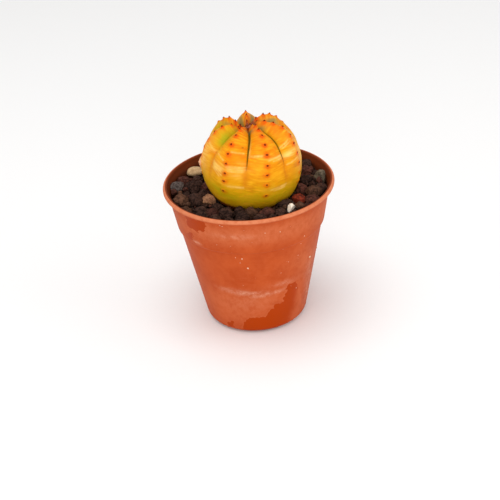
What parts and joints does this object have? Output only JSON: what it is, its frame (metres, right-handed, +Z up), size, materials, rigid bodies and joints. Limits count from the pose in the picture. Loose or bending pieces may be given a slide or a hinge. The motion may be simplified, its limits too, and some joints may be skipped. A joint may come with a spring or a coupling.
{
  "type": "potted baseball plant",
  "caption": "Ball-shaped ribbed succulent in a small tapered plastic nursery pot, its potting mix topped with crushed dark stones.",
  "frame": {"origin": "centre of the pot's foot, on the surface that it stands on", "axes": "+Z up along the pot's axis; -Y is the front that the picture shows"},
  "size_m": [0.055, 0.055, 0.0691],
  "materials": {
    "pot_plastic": "satin moulded plastic, orange brown, with wet patches and a dried mineral film",
    "plant_skin": "waxy orange and yellow skin with fine pale bands, green at the foot, dark red scars on the crests",
    "potting_mix": "dark damp grit",
    "dark_lava": "rough, finely pitted, charcoal with a purple cast",
    "plum_lava": "rough, finely pitted, dark plum",
    "brown_lava": "rough, finely pitted, earthy brown",
    "grey_lava": "rough, dusty grey",
    "grey_green_lava": "rough, grey with a green cast",
    "tan_pumice": "rough, angular, tan with dark pits",
    "pale_pebble": "smooth, waterworn, cream",
    "brick_red_lava": "rough, brick red",
    "white_grit": "white, chalky, sharp edged"
  },
  "bodies": {
    "root": {"brick_red_stone": "brick_red_lava", "brown_stone_front": "brown_lava", "brown_stone_left": "brown_lava", "brown_stone_right": "brown_lava", "brown_stone_rim": "brown_lava", "grey_green_stone": "grey_green_lava", "grey_stone": "grey_lava", "lava_stone_01": "dark_lava", "lava_stone_02": "dark_lava", "lava_stone_03": "dark_lava", "lava_stone_04": "dark_lava", "lava_stone_05": "dark_lava", "lava_stone_06": "dark_lava", "lava_stone_07": "dark_lava", "lava_stone_08": "dark_lava", "lava_stone_09": "dark_lava", "lava_stone_10": "dark_lava", "lava_stone_11": "dark_lava", "lava_stone_12": "dark_lava", "lava_stone_13": "dark_lava", "lava_stone_14": "dark_lava", "lava_stone_15": "dark_lava", "lava_stone_16": "dark_lava", "lava_stone_17": "dark_lava", "lava_stone_18": "dark_lava", "lava_stone_19": "dark_lava", "lava_stone_20": "dark_lava", "lava_stone_21": "plum_lava", "lava_stone_22": "plum_lava", "lava_stone_23": "dark_lava", "lava_stone_24": "dark_lava", "lava_stone_25": "dark_lava", "lava_stone_26": "dark_lava", "lava_stone_27": "plum_lava", "lava_stone_28": "dark_lava", "lava_stone_29": "dark_lava", "lava_stone_30": "dark_lava", "lava_stone_31": "dark_lava", "lava_stone_32": "plum_lava", "lava_stone_33": "dark_lava", "lava_stone_34": "plum_lava", "lava_stone_35": "plum_lava", "lava_stone_36": "dark_lava", "lava_stone_37": "dark_lava", "lava_stone_38": "plum_lava", "lava_stone_39": "dark_lava", "pale_pebble": "pale_pebble", "plant": "plant_skin", "plum_stone_01": "plum_lava", "plum_stone_02": "plum_lava", "plum_stone_03": "plum_lava", "plum_stone_04": "plum_lava", "plum_stone_05": "plum_lava", "plum_stone_06": "plum_lava", "plum_stone_07": "plum_lava", "pot": "pot_plastic", "potting_mix": "potting_mix", "tan_stone": "tan_pumice", "white_shard_1": "white_grit", "white_shard_2": "white_grit"}
  },
  "joints": []
}
